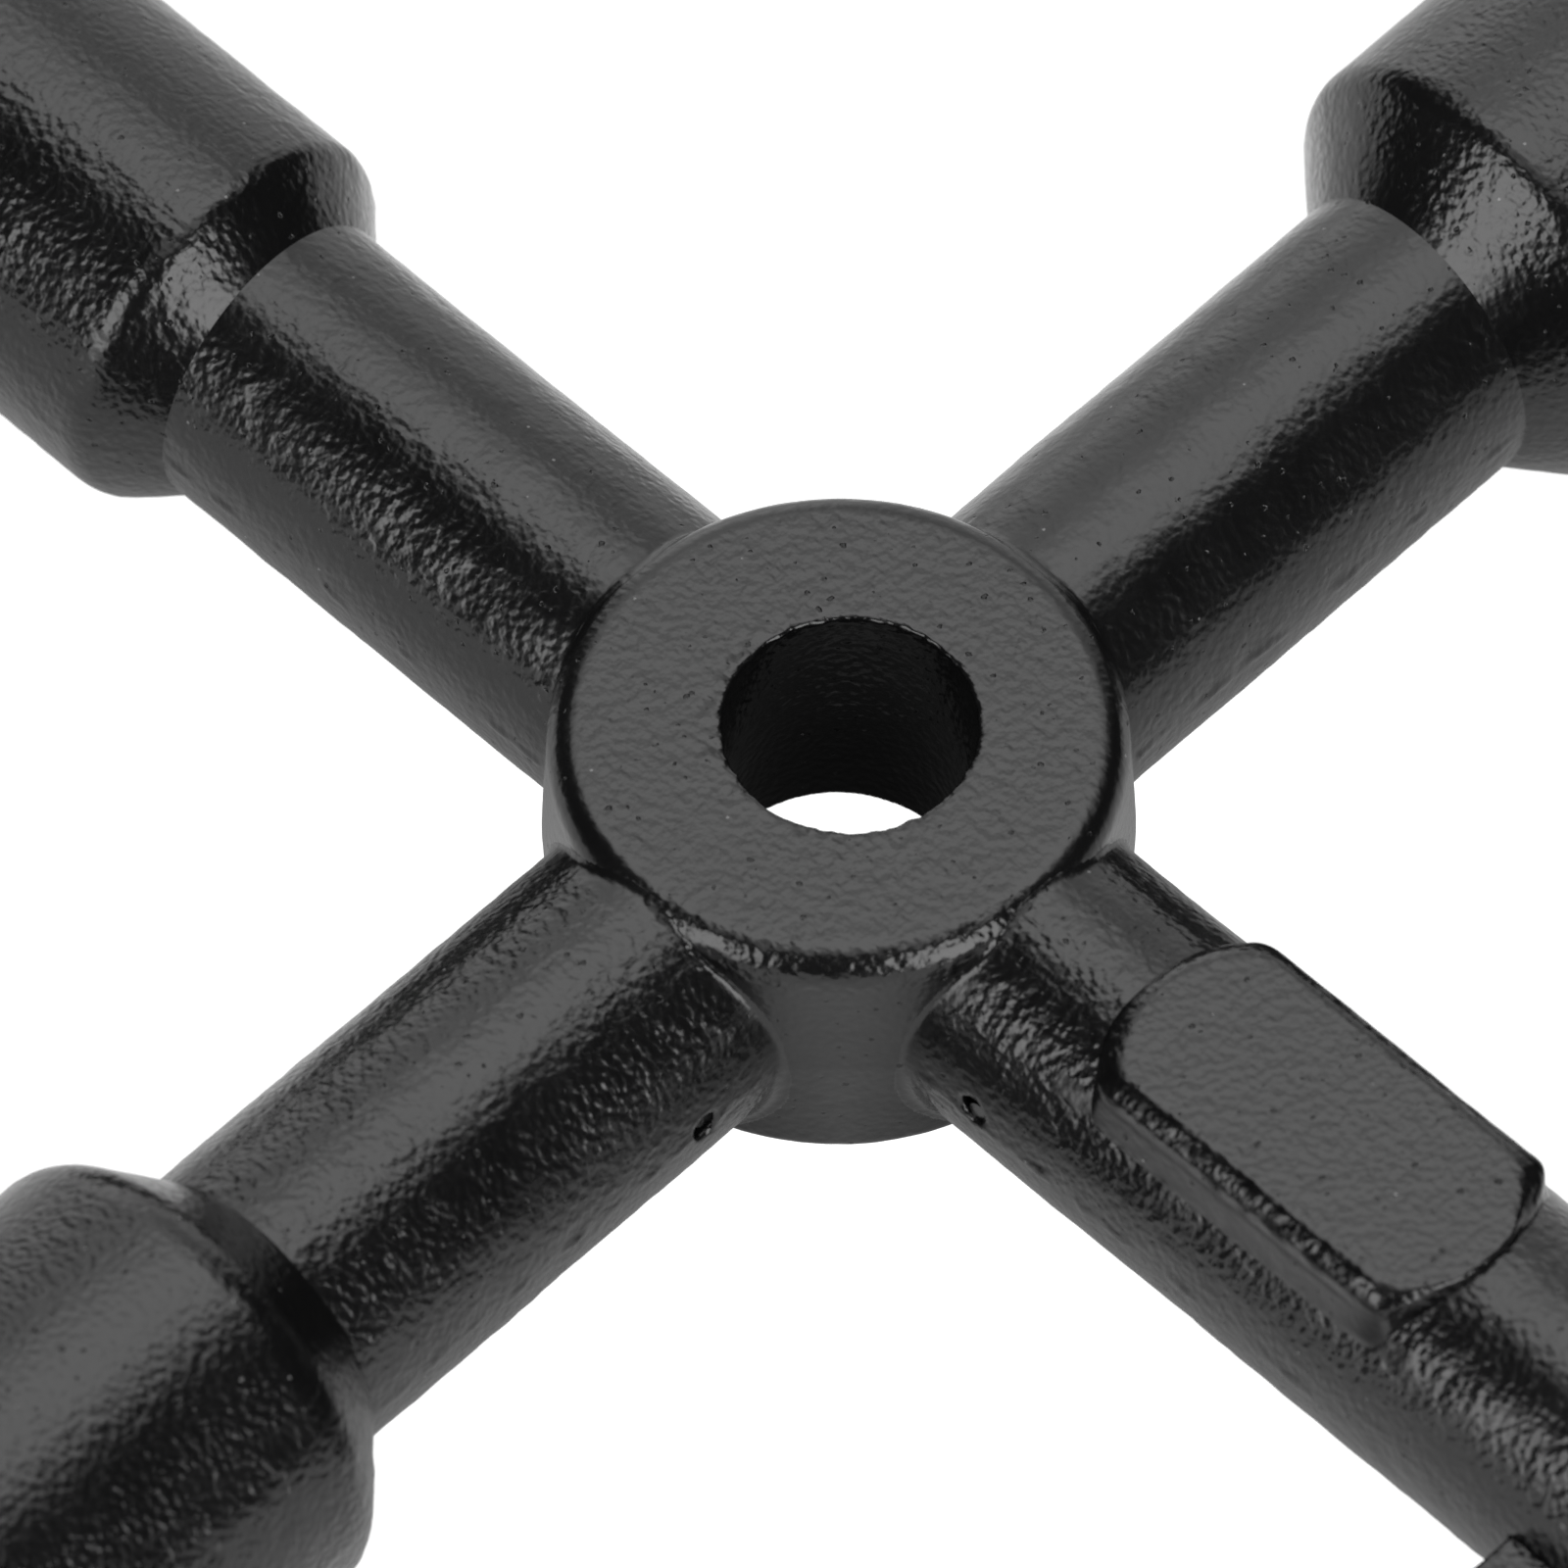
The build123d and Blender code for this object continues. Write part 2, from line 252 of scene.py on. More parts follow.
def bit_arm_field(pts):
    """The +X arm with a round bore and a level slot in its end."""
    bore_r, bore_start = 3.45, 27.4
    slot_half, slot_start = 0.97, 31.4
    along, across, z = arm_frame(pts, BIT)
    dist = arm_field(BIT, REACH)(pts)
    radius = np.hypot(across, z)
    dist = smax(dist, end_bevel(along, radius, BIT.radius, cut=0.4), blend=0.12)
    bore = np.maximum(radius - bore_r, bore_start - along)
    slot = np.maximum(np.abs(z) - slot_half, slot_start - along)
    return smax(dist, -np.minimum(bore, slot), blend=0.06)


# Pad outlines in plan, inside the pad's box. Columns: end arc nearer the hub
# (inset of its centre, radius), outer end arc (the same), inset of the sides.
PAD_WALL = (4.9, 4.9, 5.5, 5.5, 0.10)
PAD_FLAT = (4.35, 3.62, 3.25, 3.30, 0.75)


def pad_outline(along, across, outline, skew=0.0):
    """Two shallow end arcs and straight long sides; skew pulls in the outer arc."""
    inset_in, radius_in, inset_out, radius_out, side = outline
    past_in = np.minimum(along - (PAD_LO[0] + inset_in), 0)
    past_out = np.maximum(along - (PAD_HI[0] - inset_out - skew), 0)
    ends = np.maximum(np.hypot(past_in, across) - radius_in,
                      np.hypot(past_out, across) - radius_out)
    half = (PAD_HI[1] - PAD_LO[1]) / 2
    return smax(ends, np.abs(across) - (half - side), blend=0.35)


def pad_field(pts):
    edge_drop, edge_power = 0.5, 1.7     # height and curve of the rounded edge
    bottom = 1.2
    root_z, root_r = 2.2, 4.45           # below root_z the pad stays within root_r
    along, across, z = arm_frame(pts, BIT)
    outer = pad_outline(along, across, PAD_WALL)
    inner = pad_outline(along, across, PAD_FLAT, skew=0.42 * rise(across, 0.6, 2.0))
    # the wall spreads downwards, faster below 3.95
    wall = outer - 0.03 * (4.55 - z) - 0.16 * np.maximum(3.95 - z, 0.0) ** 1.2
    # the rounded edge runs from the inner outline out to the wall
    part = np.clip(inner / np.maximum(inner - outer, 0.06), 0.0, 1.5)
    dist = smax(z - (PAD_HI[2] - edge_drop * part ** edge_power), wall, blend=0.10)
    dist = np.maximum(dist, bottom - z)
    # keeps the hidden root of the pad inside the arm
    inside = np.hypot(across, z) - root_r
    return np.where(z < root_z, np.maximum(dist, inside), dist)


def head_field(pts):
    """Flat wing on a round sleeve, with a stepped bore."""
    wing_start, wing_half_z, corner = 31.35, 1.0, 0.8
    sleeve_r, sleeve_start = 3.5, 28.0
    wide_r, wide_start = 2.5, 33.8
    narrow_r, narrow_start = 1.5, 30.2
    end = HEAD_HI[0]
    along, across, z = arm_frame(pts, BIT)
    radius = np.hypot(across, z)
    past_end = np.abs(along - (wing_start + end) / 2) - ((end - wing_start) / 2 - corner)
    past_side = np.abs(across) - (HEAD_HI[1] - corner)
    plan = round_corner(past_end, past_side, corner)
    wing = smax(plan, np.abs(z) - wing_half_z, blend=0.16)
    sleeve = np.maximum(radius - sleeve_r, np.maximum(along - end, sleeve_start - along))
    wide = np.maximum(radius - wide_r, wide_start - along)
    narrow = np.maximum(radius - narrow_r, narrow_start - along)
    return smax(smin(wing, sleeve, blend=0.1), -np.minimum(wide, narrow), blend=0.12)


# ------------------------------------------------------- cast surface relief
# Noise layers: amplitude (mm in the relief), grain size in mm, shift, seed.
LAYERS = {
    "broad": (0.030, 4.2, 11.3, 3),
    "mid": (0.020, 1.55, 5.1, 7),
    "patches": (0.9, 5.0, 17.0, 41),
    "fine": (0.014, 0.80, 2.7, 11),
    "grit": (0.013, 0.46, 8.9, 37),
    "mouth": (0.065, 0.34, 3.3, 43),
    "wander": (0.16, 3.1, 31.0, 19),
    "wander_fine": (0.05, 0.7, 0.0, 23),
    "ridge": (0.13, 1.1, 7.7, 29),
    "grain": (1.0, 6.0, 4.4, 47),
    # the last layer breaks the painted shade along the pad's edges into patches
    "painted_shade": (1.6, 1 / np.array([1.2, 2.0, 2.0]), 2.2, 53),
}


def layer(name, pts):
    height, size, shift, seed = LAYERS[name]
    return height * perlin(pts / size + shift, seed)


def flatness(pts):
    """1 on the two flat tops, 0 elsewhere."""
    z = pts[:, 2]
    radius = hub_radius(pts)
    on_hub = rise(z, HUB_TOP - 0.15, 0.1) * (radius < 8.7)
    on_pad = rise(z, PAD_HI[2] - 0.15, 0.1) * (radius > 9)
    return np.maximum(on_hub, on_pad)


def rim_zone(pts):
    """1 on the rounded upper edge of the hub."""
    radius = hub_radius(pts)
    return (rise(radius, 7.45, 0.2) * fall(radius, 9.0, 0.2)
            * rise(pts[:, 2], HUB_TOP - 1.3, 0.3))


def front_side(pts):
    """1 on the quarter of the hub towards +X -Y."""
    radius = np.maximum(hub_radius(pts), 1e-3)
    return rise((pts[:, 0] - pts[:, 1]) * math.sqrt(0.5) / radius, 0.62, 0.2)


def skin(pts):
    """Local strength of the fine cast grain; the upper sides are smoother."""
    x, y, z = pts.T
    top = rise(z / np.maximum(np.hypot(x, z), 1e-3), 0.35, 0.35)
    weight = np.where(y > 8.5, 0.95 - 0.50 * top, 1.0)                   # +Y arm
    weight = np.where((y < -8.5) & (y > -24.0), 1.20 - 0.20 * top, weight)   # -Y arm
    weight = np.where(y <= -24.0, 1.20 - 0.55 * top, weight)             # -Y barrel
    return np.where(x < -8.5, 0.80, weight)                              # -X arm


def relief(pts):
    """Height of the cast and painted skin over the clean shape, mm."""
    z = pts[:, 2]
    flat = flatness(pts)
    radius = hub_radius(pts)
    patchy = 0.55 + 0.75 * smooth01(0.5 + layer("patches", pts))
    patchy = patchy * skin(pts)
    hole = 0.5 * fall(radius, 4.6, 0.4)
    # the plain flanks between the arms came out of the mould smoother
    flank = (radius < 9.2) & (radius > 5.0) & (z < HUB_TOP - 1.3)
    plain = np.maximum(hole, 0.9 * flank)
    calm = rim_zone(pts) * (1 - front_side(pts))
    # each size of grain is held back differently on the flat tops
    height = ((layer("broad", pts) + layer("mid", pts)) * (1 - 0.75 * flat)
              + patchy * layer("fine", pts) * (1 - 0.60 * flat)
              + patchy * layer("grit", pts) * (1 - 0.45 * flat))
    height = height * (1 - 0.55 * plain) * (1 - 0.60 * calm)
    # ragged paint around the mouth of the cored hole
    mouth = rise(z, HUB_TOP - 0.5, 0.3) * fall(radius, 4.25, 0.3)
    height = height + mouth * layer("mouth", pts)
    # parting line left by the two halves of the mould, fading on the barrels
    line_z, line_width, line_height = 0.1, 0.16, 0.036
    wander = layer("wander", pts) + layer("wander_fine", pts)
    ridge = np.maximum(line_height + layer("ridge", pts), 0.0)
    ridge = ridge * np.exp(-((z - line_z - wander) / line_width) ** 2)
    return height + ridge * (radius > 9.0) * (1 - 0.75 * rise(radius, 22.0, 4.0))


def grain_weight(pts):
    """How strongly the fine paint grain shows, by place."""
    x, y, z = pts.T
    radius = hub_radius(pts)
    weight = skin(pts) * (0.80 + 0.5 * smooth01(0.5 + layer("grain", pts)))
    flank = (radius < 9.1) & (radius > 5.0) & (z < HUB_TOP - 1.2)
    weight = np.where(flank, 0.50, weight)
    weight = np.where(flatness(pts) > 0.5, 1.02, weight)
    rim = rim_zone(pts)
    weight = weight * (1 - rim) + rim * (0.45 + 0.80 * front_side(pts))
    on_pad = (x > PAD_LO[0] - 0.2) & (x < PAD_HI[0] + 0.2)
    pad_wall = on_pad & (np.abs(y) > 3.3) & (z < PAD_HI[2] - 0.75) & (z > 2.95)
    return np.where(pad_wall, 0.35, weight)


def painted_shade_weight(pts):
    """Painted shade along the edges of the pad: gloss is taken off so the strips look
    dark; +Y is its far side.
    """
    x, y, z = pts.T
    on_pad = rise(x, PAD_LO[0] + 1.0, 0.8) * fall(x, PAD_HI[0] - 0.6, 0.8)
    far_line = rise(y, 3.13, 0.07) * rise(z, 3.6, 0.3)
    near_wall = fall(y, -3.35, 0.1)
    near_line = near_wall * fall(np.abs(z - 4.02), 0.22, 0.12)
    patches = smooth01(0.40 + layer("painted_shade", pts))
    near_edge = fall(y, -2.90, 0.1) * rise(z, 4.05, 0.1) * patches
    outer_end = near_wall * rise(z, 2.9, 0.3) * rise(x, PAD_HI[0] - 3.0, 1.6)
    return on_pad * np.maximum.reduce(
        (far_line, 0.75 * near_line, 0.80 * near_edge, 0.75 * outer_end))


# -------------------------------------------------------------- contouring
def sample_grid(field, lo, cell, size):
    """Field values on the grid, worked out slab by slab along X."""
    xs, ys, zs = [lo[k] + cell * np.arange(size[k]) for k in range(3)]
    grid_y, grid_z = np.meshgrid(ys, zs, indexing="ij")
    value = np.empty(size, dtype=np.float32)
    step = max(1, SLAB // (size[1] * size[2]))
    for i in range(0, size[0], step):
        x = xs[i:i + step]
        pts = np.empty((len(x), size[1], size[2], 3))
        pts[..., 0] = x[:, None, None]
        pts[..., 1] = grid_y
        pts[..., 2] = grid_z
        value[i:i + step] = field(pts)
    return value


def surface_nets(field, lo, hi, cell):
    """Quads on the field's zero surface, with a vertex in each crossed cell."""
    size = [int(math.ceil((b - a) / cell)) + 1 for a, b in zip(lo, hi)]
    value = sample_grid(field, lo, cell, size)
    inside = value < 0
    filled = np.zeros([n - 1 for n in size], dtype=np.uint8)
    for corner in CORNERS:
        filled += inside[tuple(slice(c, n - 1 + c) for c, n in zip(corner, size))]
    active = (filled > 0) & (filled < 8)
    cells = np.argwhere(active)
    index = np.full(active.shape, -1, dtype=np.int64)
    index[active] = np.arange(len(cells))

    # a vertex is the mean of the crossings on its cell's edges
    offset = np.zeros((len(cells), 3))
    crossings = np.zeros(len(cells))
    for start, end in itertools.product(CORNERS, repeat=2):
        edge = end - start
        if edge.sum() != 1 or edge.min() < 0:
            continue
        first = value[tuple((cells + start).T)]
        last = value[tuple((cells + end).T)]
        crossed = (first < 0) != (last < 0)
        part = first[crossed] / (first[crossed] - last[crossed])
        offset[crossed] += start + part[:, None] * edge
        crossings[crossed] += 1
    verts = np.array(lo) + cell * (cells + offset / crossings[:, None])

    # a quad joins the four cells around each crossed grid edge
    faces = []
    for axis in range(3):
        others = [(axis + 1) % 3, (axis + 2) % 3]
        span = [slice(1, n - 1) for n in size]
        span[axis] = slice(0, size[axis] - 1)
        first = inside[tuple(span)]
        span[axis] = slice(1, size[axis])
        last = inside[tuple(span)]
        for crossed, turn in ((first & ~last, 1), (~first & last, -1)):
            edges = np.argwhere(crossed)
            quad = []
            for around in ((0, 0), (1, 0), (1, 1), (0, 1)):
                shift = np.zeros(3, dtype=np.int64)
                shift[others] = around
                quad.append(index[tuple((edges + shift).T)])
            faces.append(np.stack(quad[::turn], 1))
    return verts, np.concatenate(faces)


def gradient(field, verts):
    slope = np.empty_like(verts)
    for k in range(3):
        step = np.zeros(3)
        step[k] = PROBE
        slope[:, k] = (field(verts + step) - field(verts - step)) / (2 * PROBE)
    return slope


def add_object(name, mesh):
    ob = bpy.data.objects.new(name, mesh)
    bpy.context.scene.collection.objects.link(ob)
    return ob


def contour(name, field, lo, hi, cell):
    """Mesh the field, settle it on the surface and raise the relief."""
    margin, max_step, passes = 2.3 * cell, 0.7 * cell, 3
    verts, faces = surface_nets(field, np.array(lo) - margin, np.array(hi) + margin, cell)
    for i in range(passes):
        slope = gradient(field, verts)
        dist = field(verts)
        if i == passes - 1:
            dist = dist - relief(verts)
        steepness = np.maximum((slope * slope).sum(1), 0.25)
        step = np.clip(dist / steepness, -max_step, max_step)
        verts = verts - slope * step[:, None]

    mesh = bpy.data.meshes.new(name)
    count = len(faces)
    mesh.vertices.add(len(verts))
    mesh.vertices.foreach_set("co", (verts * MM).astype(np.float32).ravel())
    mesh.loops.add(4 * count)
    mesh.loops.foreach_set("vertex_index", faces.astype(np.int32).ravel())
    mesh.polygons.add(count)
    mesh.polygons.foreach_set("loop_start", np.arange(0, 4 * count, 4, dtype=np.int32))
    mesh.polygons.foreach_set("loop_total", np.full(count, 4, dtype=np.int32))
    mesh.update(calc_edges=True)
    mesh.validate()
    # the second attribute is painted shade, which takes gloss off the paint along the
    # pad's edges
    for key, values in (("grain", grain_weight(verts)), ("painted_shade", painted_shade_weight(verts))):
        attribute = mesh.attributes.new(key, "FLOAT", "POINT")
        attribute.data.foreach_set("value", np.asarray(values, dtype=np.float32))
    mesh.polygons.foreach_set("use_smooth", np.ones(len(mesh.polygons), dtype=bool))
    return add_object(name, mesh)


# --------------------------------------------------------------- materials
class Nodes:
    """Fills the node tree of a material or world; inputs are values or sockets."""

    def __init__(self, owner):
        owner.use_nodes = True
        self.tree = owner.node_tree
        self.tree.nodes.clear()

    def add(self, kind, inputs=None, **settings):
        made = self.tree.nodes.new("ShaderNode" + kind)
        for key, value in settings.items():
            setattr(made, key, value)
        for key, value in (inputs or {}).items():
            if isinstance(value, bpy.types.NodeSocket):
                self.tree.links.new(value, made.inputs[key])
            else:
                made.inputs[key].default_value = value
        return made

    def math(self, kind, first, second):
        return self.add("Math", {0: first, 1: second}, operation=kind).outputs["Value"]

    def dot(self, vector, direction):
        return self.add("VectorMath", {0: vector, 1: direction},
                        operation="DOT_PRODUCT").outputs["Value"]

    def ramp(self, value, start=0.0, end=1.0, low=0.0, high=1.0, kind="SMOOTHSTEP"):
        """Maps start..end onto low..high."""
        inputs = {"Value": value, "From Min": start, "From Max": end,
                  "To Min": low, "To Max": high}
        return self.add("MapRange", inputs, interpolation_type=kind).outputs["Result"]

    def mix_colour(self, factor, first, second):
        return self.add("Mix", {0: factor, 6: first, 7: second},
                        data_type="RGBA").outputs[2]

    def noise(self, coords, scale, detail=2.0):
        return self.add("TexNoise", {"Vector": coords, "Scale": scale, "Detail": detail})

    def bump(self, height, strength, distance):
        return self.add("Bump", {"Height": height, "Strength": strength,
                                 "Distance": distance}).outputs["Normal"]


def grey(level, blue=None):
    return (level, level, level if blue is None else blue, 1)


def black_paint():
    material = bpy.data.materials.new("black_paint")
    nodes = Nodes(material)
    coords = nodes.add("TexCoord").outputs["Object"]
    # broad tone and gloss drift
    drift = nodes.noise(coords, scale=260.0, detail=3.0).outputs["Fac"]
    roughness = nodes.ramp(drift, low=0.17, high=0.25, kind="LINEAR")
    tone = nodes.mix_colour(drift, grey(0.0022, blue=0.0023), grey(0.0045, blue=0.0046))
    # fine dust specks in the paint
    speck = nodes.add("TexVoronoi", {"Vector": coords, "Scale": 700.0}, feature="F1")
    dot = nodes.ramp(speck.outputs["Distance"], start=0.045, end=0.020, kind="LINEAR")
    colour = nodes.mix_colour(dot, tone, grey(0.14))
    # orange peel of the paint over the sand-cast grain, heights in mm
    peel_height = 0.042
    peel = nodes.noise(coords, scale=3900.0, detail=0.6).outputs["Fac"]
    weight = nodes.add("Attribute", attribute_name="grain").outputs["Fac"]
    grain = nodes.math("MULTIPLY", nodes.math("SUBTRACT", peel, 0.5), peel_height)
    grain = nodes.math("MULTIPLY", grain, weight)
    # scattered pinholes in the casting, warped and half filled with paint
    pore_depth = 0.019
    warp = nodes.noise(coords, scale=5000.0).outputs["Color"]
    nudge = nodes.add("VectorMath", {0: warp, "Scale": 0.00022}, operation="SCALE")
    bent = nodes.add("VectorMath", {0: coords, 1: nudge.outputs["Vector"]},
                     operation="ADD").outputs["Vector"]
    hole = nodes.add("TexVoronoi", {"Vector": bent, "Scale": 1900.0}, feature="F1")
    pick = nodes.add("SeparateColor", {"Color": hole.outputs["Color"]}).outputs[0]
    size = nodes.ramp(pick, start=0.10, end=1.0, low=0.02, high=0.20, kind="LINEAR")
    pore = nodes.ramp(nodes.math("SUBTRACT", hole.outputs["Distance"], size),
                      start=0.03, end=-0.09)
    height = nodes.math("SUBTRACT", grain, nodes.math("MULTIPLY", pore, pore_depth))
    # painted shade: gloss is taken off in the pinholes, as shade in the pits, and along
    # the pad's edges
    full_gloss, pore_shade_loss, painted_shade_loss, least_gloss = 0.5, 0.24, 0.46, 0.02
    painted_shade = nodes.add("Attribute", attribute_name="painted_shade").outputs["Fac"]
    gloss = nodes.math("SUBTRACT", full_gloss, nodes.math("MULTIPLY", pore, pore_shade_loss))
    gloss = nodes.math("SUBTRACT", gloss, nodes.math("MULTIPLY", painted_shade, painted_shade_loss))
    shader = nodes.add("BsdfPrincipled", {
        "Base Color": colour, "Roughness": roughness, "IOR": 1.5,
        "Normal": nodes.bump(height, strength=1.0, distance=MM),
        "Specular IOR Level": nodes.math("MAXIMUM", gloss, least_gloss)})
    nodes.add("OutputMaterial", {"Surface": shader.outputs["BSDF"]})
    return material


def dark_steel():
    material = bpy.data.materials.new("dark_steel")
    nodes = Nodes(material)
    coords = nodes.add("TexCoord").outputs["Object"]
    mottle = nodes.noise(coords, scale=900.0, detail=4.0).outputs["Fac"]
    grain = nodes.noise(coords, scale=5000.0, detail=2.0).outputs["Fac"]
    shader = nodes.add("BsdfPrincipled", {
        "Base Color": nodes.mix_colour(mottle, grey(0.13, blue=0.135),
                                       grey(0.25, blue=0.26)),
        "Roughness": nodes.ramp(mottle, low=0.28, high=0.5, kind="LINEAR"),
        "Metallic": 1.0,
        "Normal": nodes.bump(grain, strength=0.6, distance=0.00001)})
    nodes.add("OutputMaterial", {"Surface": shader.outputs["BSDF"]})
    return material


# ------------------------------------------------------------------ pieces
# Node replaced, field, lower and upper corner of the contoured box, cell.
PIECES = (
    ("hub", hub_field, (-9.6, -9.6, -4.6), (9.6, 9.6, 5.3), max(CELL, 0.117)),
    ("arm_large_square", arm_field(LARGE, end=26.2),
     (-5.8, 3.3, -5.8), (5.8, 26.4, 5.8), CELL),
    ("arm_small_square", arm_field(SMALL, end=25.4),
     (-25.6, -5.8, -5.8), (-3.3, 5.8, 5.8), CELL),
    ("arm_triangle", arm_field(TRIANGLE, end=25.2),
     (-5.9, -25.4, -5.9), (5.9, -3.3, 5.9), CELL),
    ("arm_double_bit", bit_arm_field,
     (3.3, -5.8, -5.8), (REACH + 0.2, 5.8, 5.8), max(CELL, 0.135)),
    ("label_pad", pad_field, (PAD_LO[0] - 0.4, -4.2, 0.9),
     (PAD_HI[0] + 0.4, 4.2, PAD_HI[2] + 0.3), min(CELL, 0.15)),
    ("barrel_large_square", barrel_field(LARGE),
     (-7.8, 22.3, -7.8), (7.8, REACH + 0.2, 7.8), max(CELL, 0.133)),
    ("barrel_small_square", barrel_field(SMALL),
     (-REACH - 0.2, -6.4, -6.4), (-22.3, 6.4, 6.4), max(CELL, 0.125)),
    ("barrel_triangle", barrel_field(TRIANGLE),
     (-7.8, -REACH - 0.2, -7.8), (7.8, -22.3, 7.8), max(CELL, 0.135)),
    ("double_bit_head", head_field,
     (27.9, -8.1, -3.6), (HEAD_HI[0] + 0.1, 8.1, 3.6), min(CELL, 0.15)),
)
STEEL_PARTS = ("insert_square_8", "insert_square_6", "insert_square_5",
               "insert_triangle_9", "bit_head_pin")


def build_pieces():
    paint = black_paint()
    steel = dark_steel()
    for node_name, field, lo, hi, cell in PIECES:
        ob = contour(node_name + "_casting", field, lo, hi, cell)
        ob.data.materials.append(paint)
        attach(ob, "root")
        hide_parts(node_name)
    for name in STEEL_PARTS + ("arm_root_pins",):
        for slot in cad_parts[name].material_slots:
            slot.material = steel if name in STEEL_PARTS else paint


# -------------------------------------------------------------- stage, light
HALF_ROOT = math.sqrt(0.5)
FAR = (-HALF_ROOT, HALF_ROOT, 0.0)       # away from the camera
RIGHT = (HALF_ROOT, HALF_ROOT, 0.0)      # the camera's right


def build_world():
    """Softboxes placed by azimuth (0 far, 90 right) and elevation, degrees."""
    camera_sees, least = 1.2, 0.03       # plain backdrop, light between softboxes
    world = bpy.data.worlds.new("studio")
    bpy.context.scene.world = world
    nodes = Nodes(world)
    direction = nodes.add("TexCoord").outputs["Generated"]
    far, right, up = [nodes.dot(direction, way) for way in (FAR, RIGHT, (0.0, 0.0, 1.0))]
    degrees = 180.0 / math.pi
    azimuth = nodes.math("MULTIPLY", nodes.math("ARCTAN2", right, far), degrees)
    elevation = nodes.math("MULTIPLY", nodes.math("ARCSINE", up, 0.0), degrees)

    def band(angle, start, end, soft):
        return nodes.math("MULTIPLY", nodes.ramp(angle, start - soft, start + soft),
                          nodes.ramp(angle, end + soft, end - soft))

    bank = nodes.ramp(elevation, start=38, end=74, low=2.50, high=2.64)
    wall_left = nodes.ramp(elevation, start=2, end=36, low=1.62, high=1.38)
    wall_right = nodes.ramp(elevation, start=2, end=36, low=1.16, high=0.90)
    # azimuth from, to, softness; elevation from, to, softness; strength
    panels = (
        (-52, 76, 12, 48, 120, 14, bank),        # overhead bank, far half
        (-27, 4, 9, -60, 55, 10, wall_left),     # far wall, brighter on the left
        (-10, 36, 12, -60, 55, 10, wall_right),
        (-18, 20, 10, 38, 55, 7, 1.75),          # between far wall and bank
        (-150, -112.5, 5, 14, 49, 8, 4.4),       # left of the camera
        (-152, -113, 7, -40, 22, 7, 1.78),       # below it
        (125.5, 160, 5, -4, 46, 8, 4.8),         # right of the camera
        (-400, 400, 1, 68, 120, 7, 1.10),        # ceiling
        (76, 150, 10, 65, 120, 8, 1.6),          # overhead on the right
    )
    total = None
    for az_from, az_to, az_soft, el_from, el_to, el_soft, strength in panels:
        shape = nodes.math("MULTIPLY", band(azimuth, az_from, az_to, az_soft),
                           band(elevation, el_from, el_to, el_soft))
        light = nodes.math("MULTIPLY", shape, strength)
        total = light if total is None else nodes.math("MAXIMUM", total, light)
    total = nodes.math("MAXIMUM", total, least)
    is_camera = nodes.add("LightPath").outputs["Is Camera Ray"]
    strength = nodes.add("Mix", {0: is_camera, 2: total, 3: camera_sees},
                         data_type="FLOAT").outputs[0]
    background = nodes.add("Background", {"Strength": strength, "Color": grey(1)})
    nodes.add("OutputWorld", {"Surface": background.outputs["Background"]})


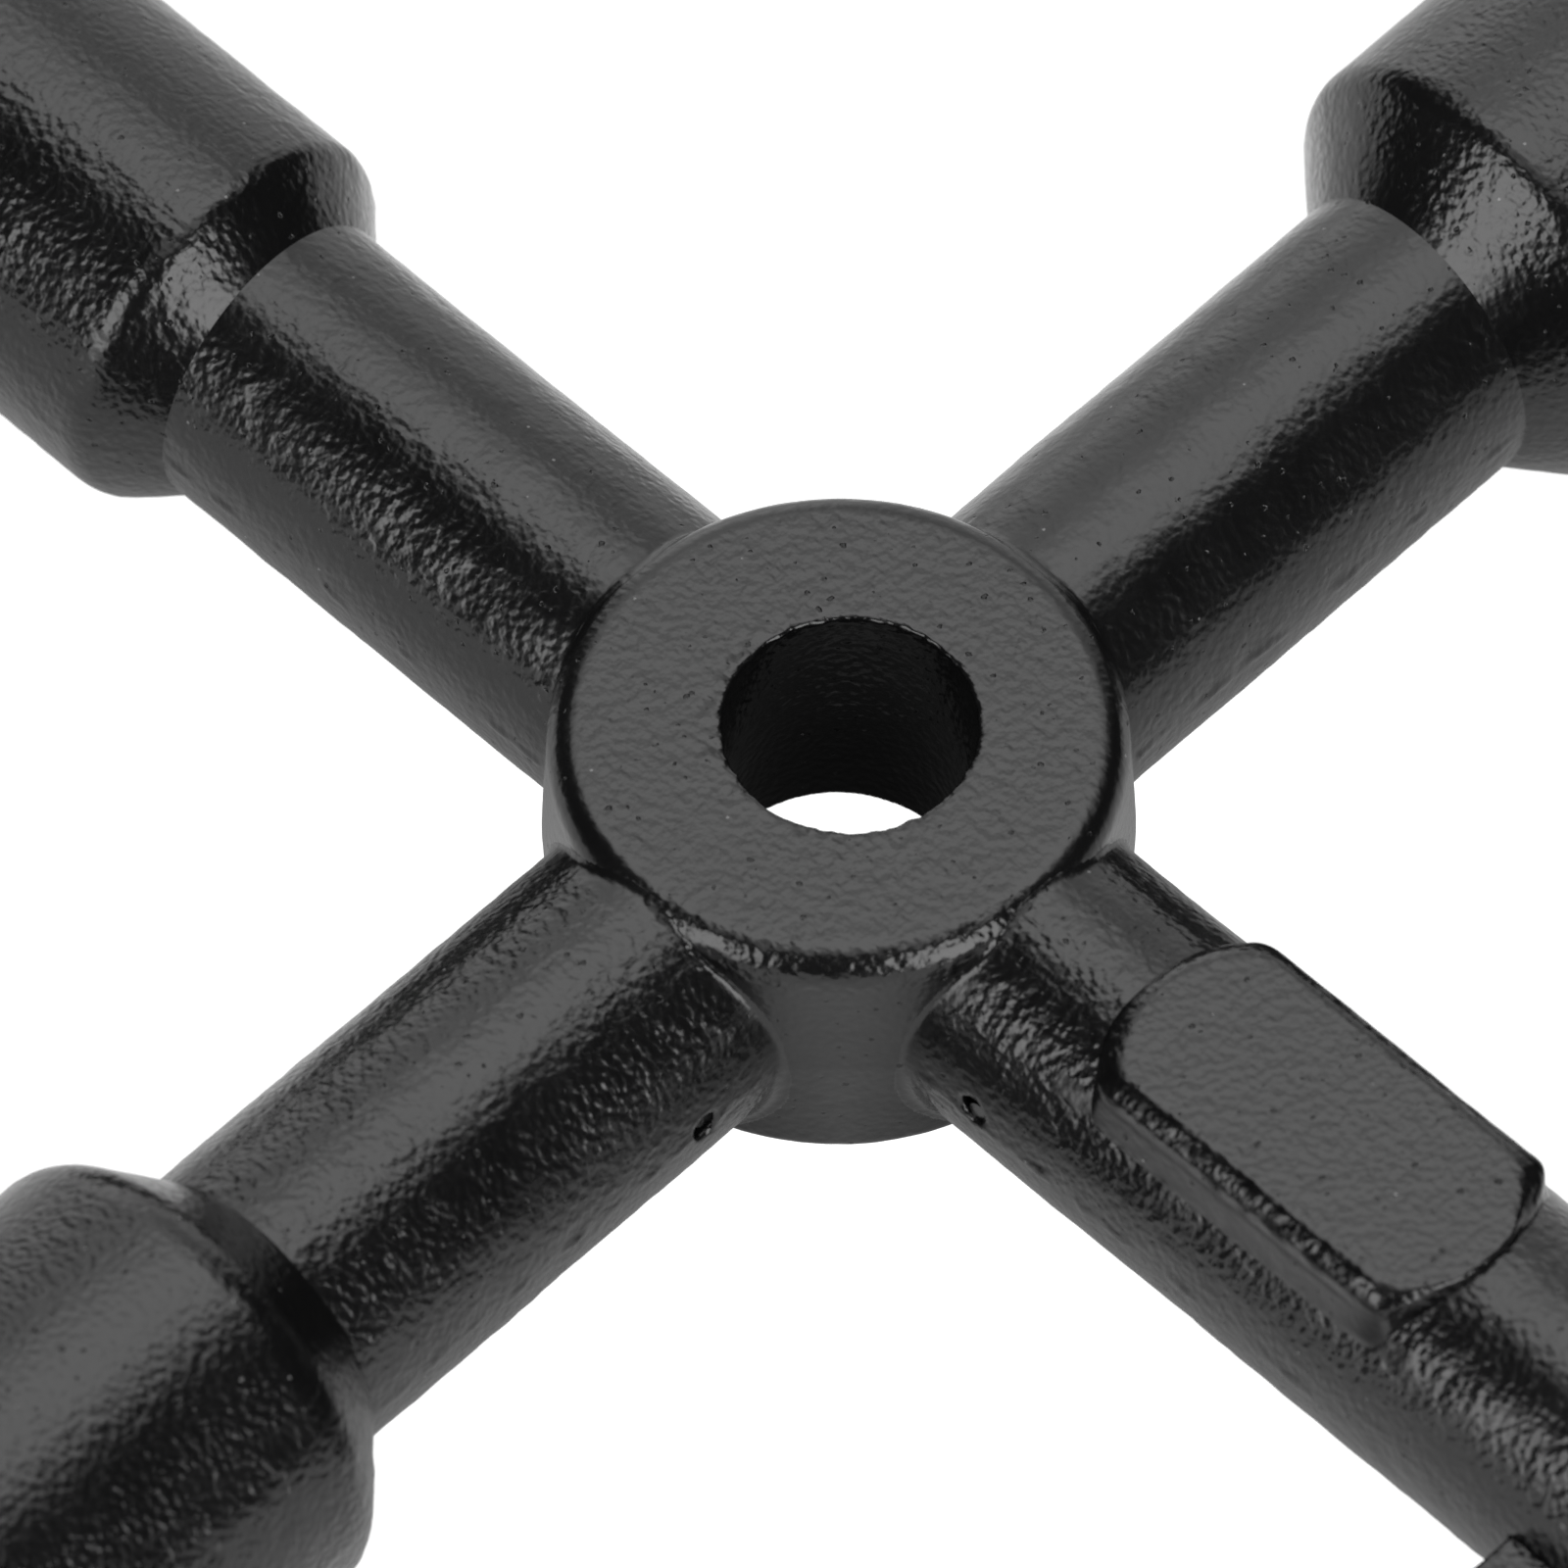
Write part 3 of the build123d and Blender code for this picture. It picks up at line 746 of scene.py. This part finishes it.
def floor_white():
    """Plain to the camera; reflections see a floor with painted shadow under the key and
    painted light and shade around it.
    """
    camera_sees = 1.3
    material = bpy.data.materials.new("floor_white")
    nodes = Nodes(material)
    place = nodes.add("NewGeometry").outputs["Position"]
    # painted shadow below the arms, which end 0.038 out
    away = nodes.add("VectorMath", {0: place}, operation="ABSOLUTE").outputs["Vector"]
    axes = nodes.add("SeparateXYZ", {0: away}).outputs
    side = nodes.math("MINIMUM", axes["X"], axes["Y"])
    past_end = nodes.math("SUBTRACT", nodes.math("MAXIMUM", axes["X"], axes["Y"]), 0.038)
    reach = nodes.math("ADD", side, nodes.math("MAXIMUM", past_end, 0.0))
    arm_shadow = nodes.ramp(reach, start=0.002, end=0.012, low=0.34, high=0.90)
    # painted shadow, darker still below the hub
    shifted = nodes.add("VectorMath", {0: place, 1: (0.0018, -0.0018, 0.0)},
                        operation="ADD").outputs["Vector"]
    centre = nodes.add("VectorMath", {0: shifted}, operation="LENGTH").outputs["Value"]
    hub_shadow = nodes.ramp(centre, start=0.0085, end=0.0130, low=0.12, high=1.0)
    shade = nodes.math("MULTIPLY", arm_shadow, hub_shadow)
    # painted light and shade: lighter beyond the key and in front of it, darker past the
    # far barrels
    behind = nodes.dot(place, FAR)
    for start, end, low, high in ((0.014, 0.030, 1.0, 1.30),
                                  (-0.034, -0.010, 1.18, 1.0),
                                  (0.030, 0.038, 1.0, 0.80)):
        shade = nodes.math("MULTIPLY", shade, nodes.ramp(behind, start, end, low, high))
    # painted shade: the floor seen in reflections darkens to the camera's right
    flank = nodes.ramp(nodes.dot(place, RIGHT), start=0.030, end=0.110, low=1.0, high=0.55)
    seen = nodes.add("Emission", {"Strength": nodes.math("MULTIPLY", shade, flank)})
    shown = nodes.add("Emission", {"Strength": camera_sees})
    is_camera = nodes.add("LightPath").outputs["Is Camera Ray"]
    mix = nodes.add("MixShader", {0: is_camera, 1: seen.outputs[0], 2: shown.outputs[0]})
    nodes.add("OutputMaterial", {"Surface": mix.outputs[0]})
    return material


def build_floor():
    gap, half = 0.06, 6.0            # mm below the barrels; half width in metres
    z = (min(LARGE.barrel_bottom, TRIANGLE.barrel_bottom) - gap) * MM
    mesh = bpy.data.meshes.new("floor")
    mesh.from_pydata([(-half, -half, z), (half, -half, z), (half, half, z),
                      (-half, half, z)], [], [(0, 1, 2, 3)])
    ob = add_object("floor", mesh)
    mesh.materials.append(floor_white())


# ------------------------------------------------------------------ camera
def build_camera():
    """Long lens looking down from +X -Y."""
    elevation, roll, azimuth = [math.radians(angle) for angle in (56.04, -0.58, 45.0)]
    distance = 742.86
    shift_left, shift_up = 1.602286, 1.119429
    back = np.array([math.sin(azimuth) * math.cos(elevation),
                     -math.cos(azimuth) * math.cos(elevation), math.sin(elevation)])
    level = np.array([math.cos(azimuth), math.sin(azimuth), 0.0])
    upright = np.cross(back, level)
    right = math.cos(roll) * level + math.sin(roll) * upright
    up = -math.sin(roll) * level + math.cos(roll) * upright
    place = (back * distance - right * shift_left + up * shift_up) * MM
    camera = bpy.data.cameras.new("camera")
    camera.sensor_width = 36.0
    camera.lens = 585.0
    camera.clip_start, camera.clip_end = 0.05, 20.0
    ob = add_object("camera", camera)
    rows = [tuple(row) for row in np.column_stack((right, up, back, place))]
    ob.matrix_world = Matrix(rows + [(0, 0, 0, 1)])
    bpy.context.scene.camera = ob
    # the ends of the long arms fall a little out of focus
    camera.dof.use_dof = True
    camera.dof.focus_object = bpy.data.objects["hub_casting"]
    camera.dof.aperture_fstop = 85.0


build_pieces()
build_world()
build_floor()
build_camera()
view = bpy.context.scene.view_settings
view.view_transform = "Standard"
view.look = "None"
view.exposure = 0.0
view.gamma = 1.0
